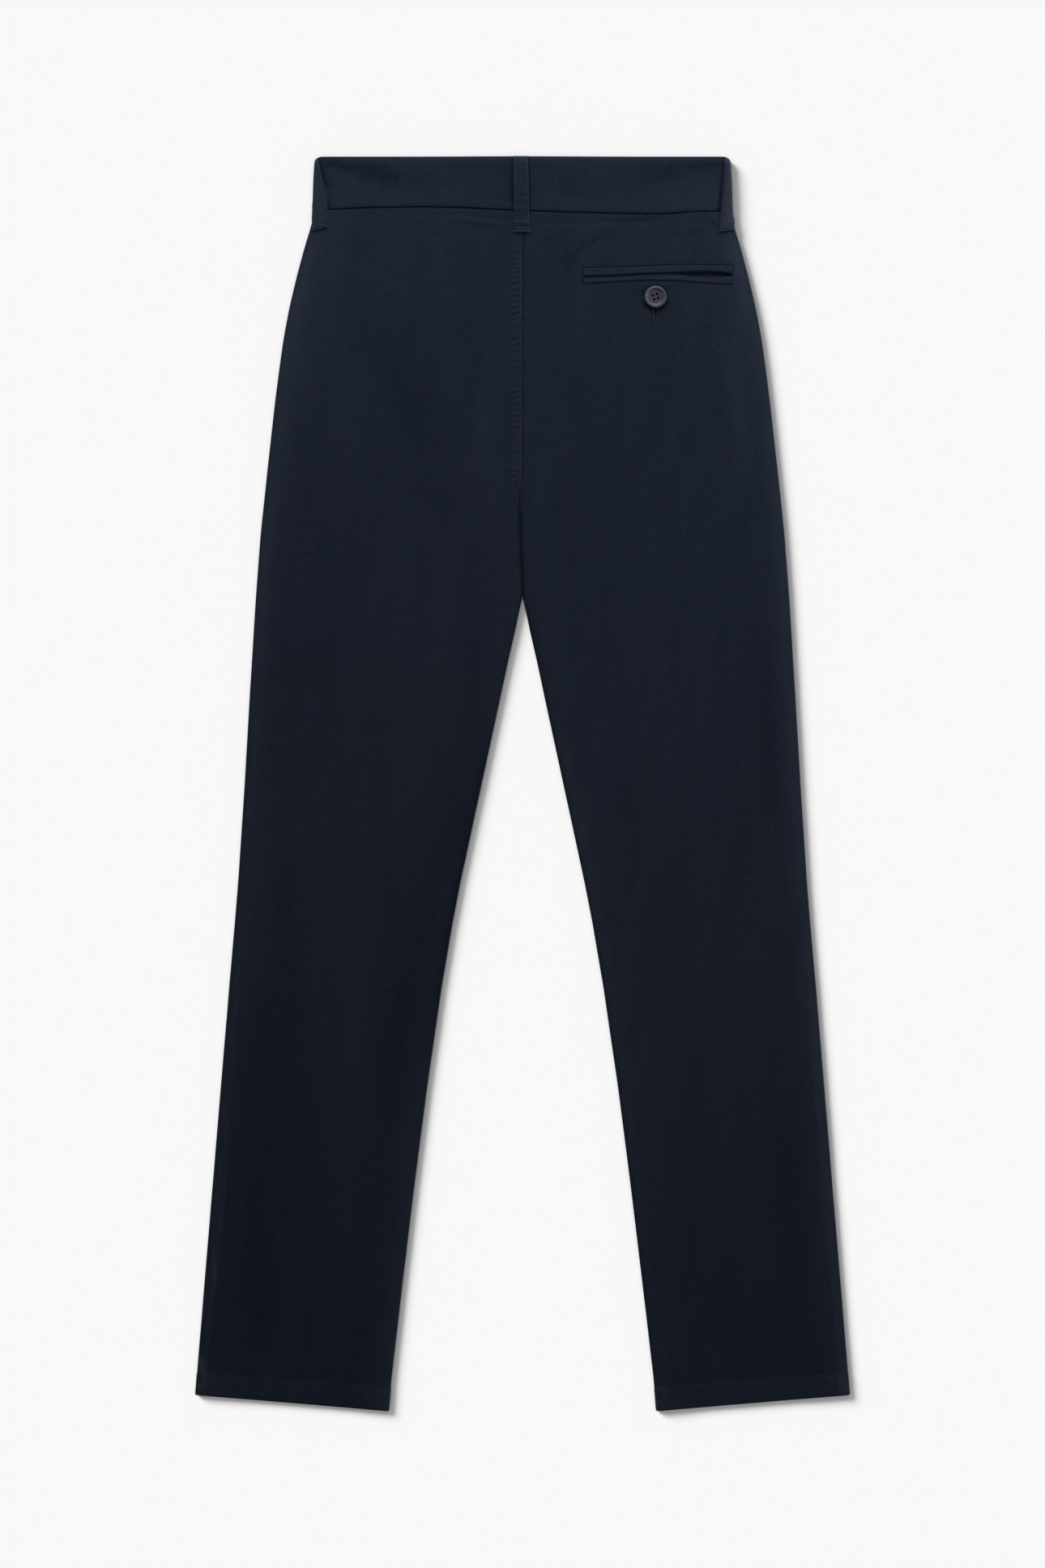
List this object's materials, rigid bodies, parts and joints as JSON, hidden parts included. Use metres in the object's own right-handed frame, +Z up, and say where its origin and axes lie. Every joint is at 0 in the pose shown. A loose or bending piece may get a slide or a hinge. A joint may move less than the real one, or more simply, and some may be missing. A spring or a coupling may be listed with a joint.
{
  "type": "chino trousers",
  "caption": "Long slim trousers of plain cotton twill laid flat with the back side up, with a waistband, belt loops and one buttoned welt pocket at the right.",
  "frame": {"origin": "on the surface the trousers lie on, under the middle of their width and length", "axes": "+Y along the legs towards the waist, +X towards the wearer's right, +Z up out of the back side"},
  "size_m": [0.5412, 1.0366, 0.0106],
  "materials": {
    "twill": "washed cotton twill, dark navy",
    "waistband_twill": "washed cotton twill, dark navy, double and stiffened",
    "trim_twill": "washed cotton twill, dark navy, folded and topstitched",
    "button": "satin grey navy plastic",
    "thread": "navy sewing thread"
  },
  "bodies": {
    "root": {"back_panel_left": "twill", "back_panel_right": "twill", "front_panel_left": "twill", "front_panel_right": "twill", "front_pocket_facing_left": "twill", "front_pocket_facing_right": "twill", "back_pocket_facing": "twill", "waistband_left": "waistband_twill", "waistband_right": "waistband_twill", "belt_loop_centre_back": "trim_twill", "belt_loop_side_left": "trim_twill", "belt_loop_side_right": "trim_twill", "belt_loop_front_left": "trim_twill", "belt_loop_front_right": "trim_twill", "back_pocket_upper_welt": "trim_twill", "back_pocket_lower_welt": "trim_twill", "back_pocket_button": "button", "waist_button": "button", "back_pocket_button_thread": "thread"}
  },
  "joints": []
}
